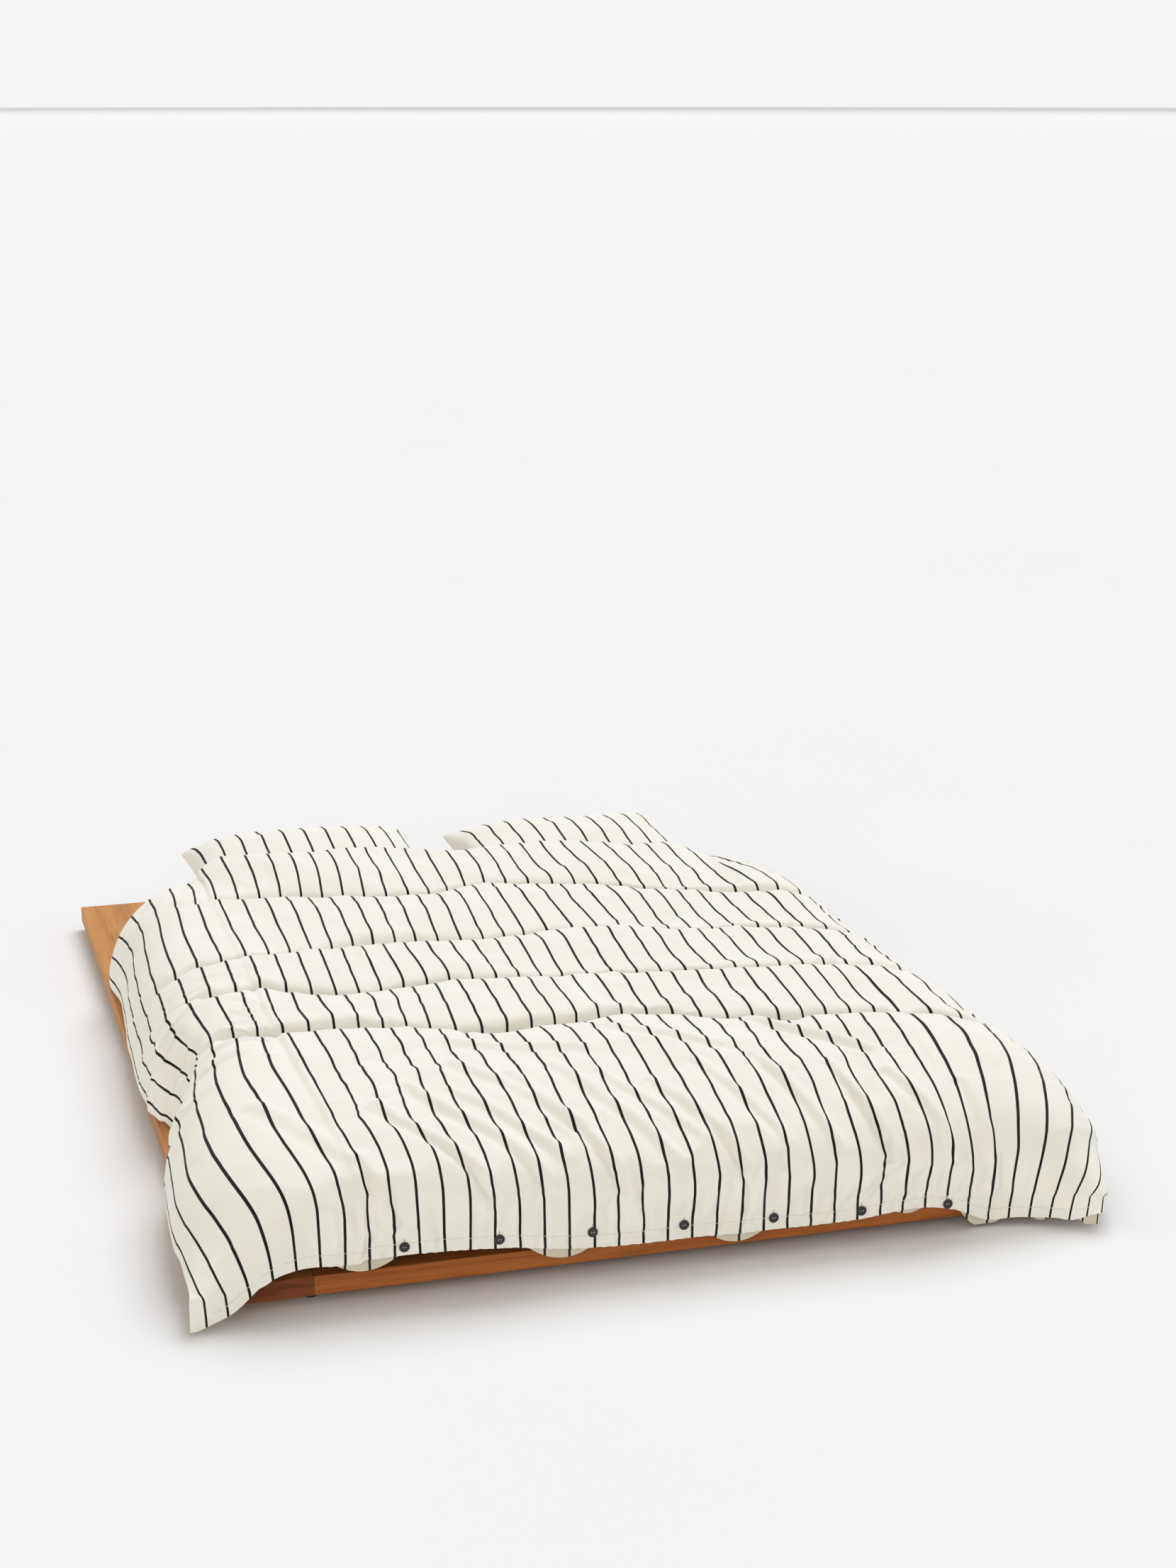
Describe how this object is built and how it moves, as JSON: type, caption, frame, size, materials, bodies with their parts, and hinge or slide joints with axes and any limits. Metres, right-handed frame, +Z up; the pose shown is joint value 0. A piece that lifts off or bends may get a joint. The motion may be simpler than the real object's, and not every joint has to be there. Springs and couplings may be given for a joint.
{
  "type": "duvet on a platform bed",
  "caption": "Low slab platform bed with a mattress, two pillows and a buttoned striped duvet that drapes over it in cross folds.",
  "frame": {"origin": "the underside of the centre glide: on the floor, in the middle of the bed frame", "axes": "+X to the right seen from the foot of the bed, +Y from the foot to the head, +Z up"},
  "size_m": [1.6916, 2.2658, 0.304],
  "materials": {
    "board_wood": "oiled oak, satin, with straight grain",
    "slat_wood": "plain planed wood, matt",
    "steel": "zinc plated, satin",
    "glide_plastic": "black moulded, matt",
    "foam": "open-cell foam, matt",
    "ticking": "woven ticking, matt",
    "filling": "white down-proof cotton over filling, matt",
    "striped_cotton": "cream cotton percale with thin black lengthwise stripes, matt",
    "cotton_reverse": "the cover's inner side and underside, cream cotton, matt",
    "button": "black, satin, two holes"
  },
  "bodies": {
    "bed_frame": {"side_board_left": "board_wood", "side_board_right": "board_wood", "foot_board": "board_wood", "head_board": "board_wood", "centre_beam": "slat_wood", "side_cleat_left": "slat_wood", "side_cleat_right": "slat_wood", "slat_1": "slat_wood", "slat_2": "slat_wood", "slat_3": "slat_wood", "slat_4": "slat_wood", "slat_5": "slat_wood", "slat_6": "slat_wood", "slat_7": "slat_wood", "slat_8": "slat_wood", "slat_9": "slat_wood", "slat_10": "slat_wood", "slat_11": "slat_wood", "slat_12": "slat_wood", "slat_13": "slat_wood", "plate_foot_left": "steel", "plate_foot_right": "steel", "plate_head_left": "steel", "plate_head_right": "steel", "plate_side_left": "steel", "plate_side_right": "steel", "plate_centre": "steel", "plate_screws": "steel", "board_dowels": "slat_wood"},
    "leveller_foot_left": {"glide_foot_left": "glide_plastic", "stud_foot_left": "steel"},
    "leveller_foot_right": {"glide_foot_right": "glide_plastic", "stud_foot_right": "steel"},
    "leveller_head_left": {"glide_head_left": "glide_plastic", "stud_head_left": "steel"},
    "leveller_head_right": {"glide_head_right": "glide_plastic", "stud_head_right": "steel"},
    "leveller_side_left": {"glide_side_left": "glide_plastic", "stud_side_left": "steel"},
    "leveller_side_right": {"glide_side_right": "glide_plastic", "stud_side_right": "steel"},
    "leveller_centre": {"glide_centre": "glide_plastic", "stud_centre": "steel"},
    "mattress": {"mattress_core": "foam", "mattress_cover": "ticking"},
    "left_pillow": {"pillow_left": "filling", "pillowcase_left": "striped_cotton"},
    "right_pillow": {"pillow_right": "filling", "pillowcase_right": "striped_cotton"},
    "duvet_foot_half": {"duvet_filling_foot": "filling", "cover_top_foot": "striped_cotton", "cover_bottom_foot": "cotton_reverse", "cover_corner_left": "striped_cotton", "cover_corner_right": "striped_cotton", "hem_facing": "cotton_reverse", "buttons": "button"},
    "duvet_head_half": {"duvet_filling_head": "filling", "cover_top_head": "striped_cotton", "cover_bottom_head": "cotton_reverse"}
  },
  "joints": [
    {"name": "foot_left_glide_height", "type": "slide", "parent": "bed_frame", "child": "leveller_foot_left", "axis": [0, 0, -1], "range_m": [0, 0.01]},
    {"name": "foot_right_glide_height", "type": "slide", "parent": "bed_frame", "child": "leveller_foot_right", "axis": [0, 0, -1], "range_m": [0, 0.01]},
    {"name": "head_left_glide_height", "type": "slide", "parent": "bed_frame", "child": "leveller_head_left", "axis": [0, 0, -1], "range_m": [0, 0.01]},
    {"name": "head_right_glide_height", "type": "slide", "parent": "bed_frame", "child": "leveller_head_right", "axis": [0, 0, -1], "range_m": [0, 0.01]},
    {"name": "side_left_glide_height", "type": "slide", "parent": "bed_frame", "child": "leveller_side_left", "axis": [0, 0, -1], "range_m": [0, 0.01]},
    {"name": "side_right_glide_height", "type": "slide", "parent": "bed_frame", "child": "leveller_side_right", "axis": [0, 0, -1], "range_m": [0, 0.01]},
    {"name": "centre_glide_height", "type": "slide", "parent": "bed_frame", "child": "leveller_centre", "axis": [0, 0, -1], "range_m": [0, 0.01]},
    {"name": "mattress_lift", "type": "slide", "parent": "bed_frame", "child": "mattress", "axis": [0, 0, 1], "range_m": [0, 0.3]},
    {"name": "left_pillow_slide", "type": "slide", "parent": "mattress", "child": "left_pillow", "axis": [0, 1, 0], "range_m": [0, 0.25]},
    {"name": "right_pillow_slide", "type": "slide", "parent": "mattress", "child": "right_pillow", "axis": [0, 1, 0], "range_m": [0, 0.25]},
    {"name": "duvet_lift", "type": "slide", "parent": "mattress", "child": "duvet_foot_half", "axis": [0, 0, 1], "range_m": [0, 0.4]},
    {"name": "duvet_turn_back", "type": "hinge", "parent": "duvet_foot_half", "child": "duvet_head_half", "pos_m": [0, 0.12, 0.31], "axis": [1, 0, 0], "range_deg": [0, 85]}
  ]
}
